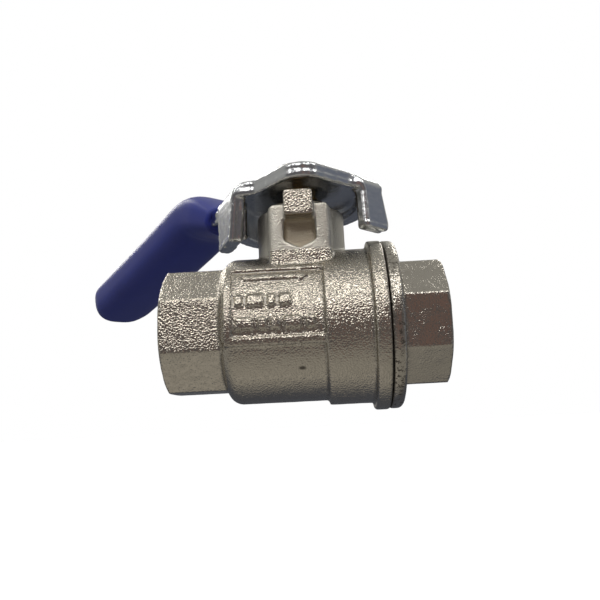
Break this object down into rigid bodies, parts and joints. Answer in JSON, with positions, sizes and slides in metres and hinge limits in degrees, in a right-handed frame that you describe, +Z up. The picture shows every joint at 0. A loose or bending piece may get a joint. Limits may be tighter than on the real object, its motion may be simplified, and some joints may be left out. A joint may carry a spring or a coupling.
{
  "type": "water shutoff valve",
  "caption": "Quarter-inch lever ball valve with two octagonal threaded ends, a stem and ball, and a sleeved steel lever that turns a quarter turn.",
  "frame": {"origin": "centre of the inlet port's mouth, on the pipe axis", "axes": "+X along the pipe from the inlet to the outlet, +Z up, parallel to the stem towards the lever, +Y completes the frame, towards the side where the lever points when closed"},
  "size_m": [0.0774, 0.0739, 0.0454],
  "materials": {
    "nickel_body": "nickel-plated, shot-blasted cast surface",
    "nickel_cap": "nickel-plated, shot-blasted with turned faces",
    "seal_rubber": "satin",
    "ball_chrome": "mirror polished",
    "seat_ptfe": "waxy matte",
    "stem_brass": "turned",
    "gland_brass": "turned and nickel-plated",
    "lever_steel": "bright zinc plating on pressed steel",
    "sleeve_plastic": "soft vinyl, semi-gloss",
    "fastener_steel": "bright zinc plating"
  },
  "bodies": {
    "valve": {"body": "nickel_body", "end_cap": "nickel_cap", "joint_seal": "seal_rubber", "inlet_seat": "seat_ptfe", "outlet_seat": "seat_ptfe", "thrust_washer": "seat_ptfe", "packing_ring_lower": "seat_ptfe", "packing_ring_upper": "seat_ptfe", "gland_nut": "gland_brass"},
    "handle": {"lever": "lever_steel", "lever_sleeve": "sleeve_plastic", "lock_washer": "fastener_steel", "lever_nut": "fastener_steel", "stem": "stem_brass", "stem_o_ring": "seal_rubber"},
    "ball_group": {"ball": "ball_chrome"}
  },
  "joints": [
    {"name": "lever_turn", "type": "hinge", "parent": "valve", "child": "handle", "pos_m": [0.02275, 0, 0], "axis": [0, 0, 1], "range_deg": [-42, 48]},
    {"name": "ball_turn", "type": "hinge", "parent": "valve", "child": "ball_group", "pos_m": [0.02275, 0, 0], "axis": [0, 0, 1], "range_deg": [-42, 48]}
  ],
  "couplings": [
    {"joint": "ball_turn", "follows": "lever_turn", "ratio": 1}
  ]
}
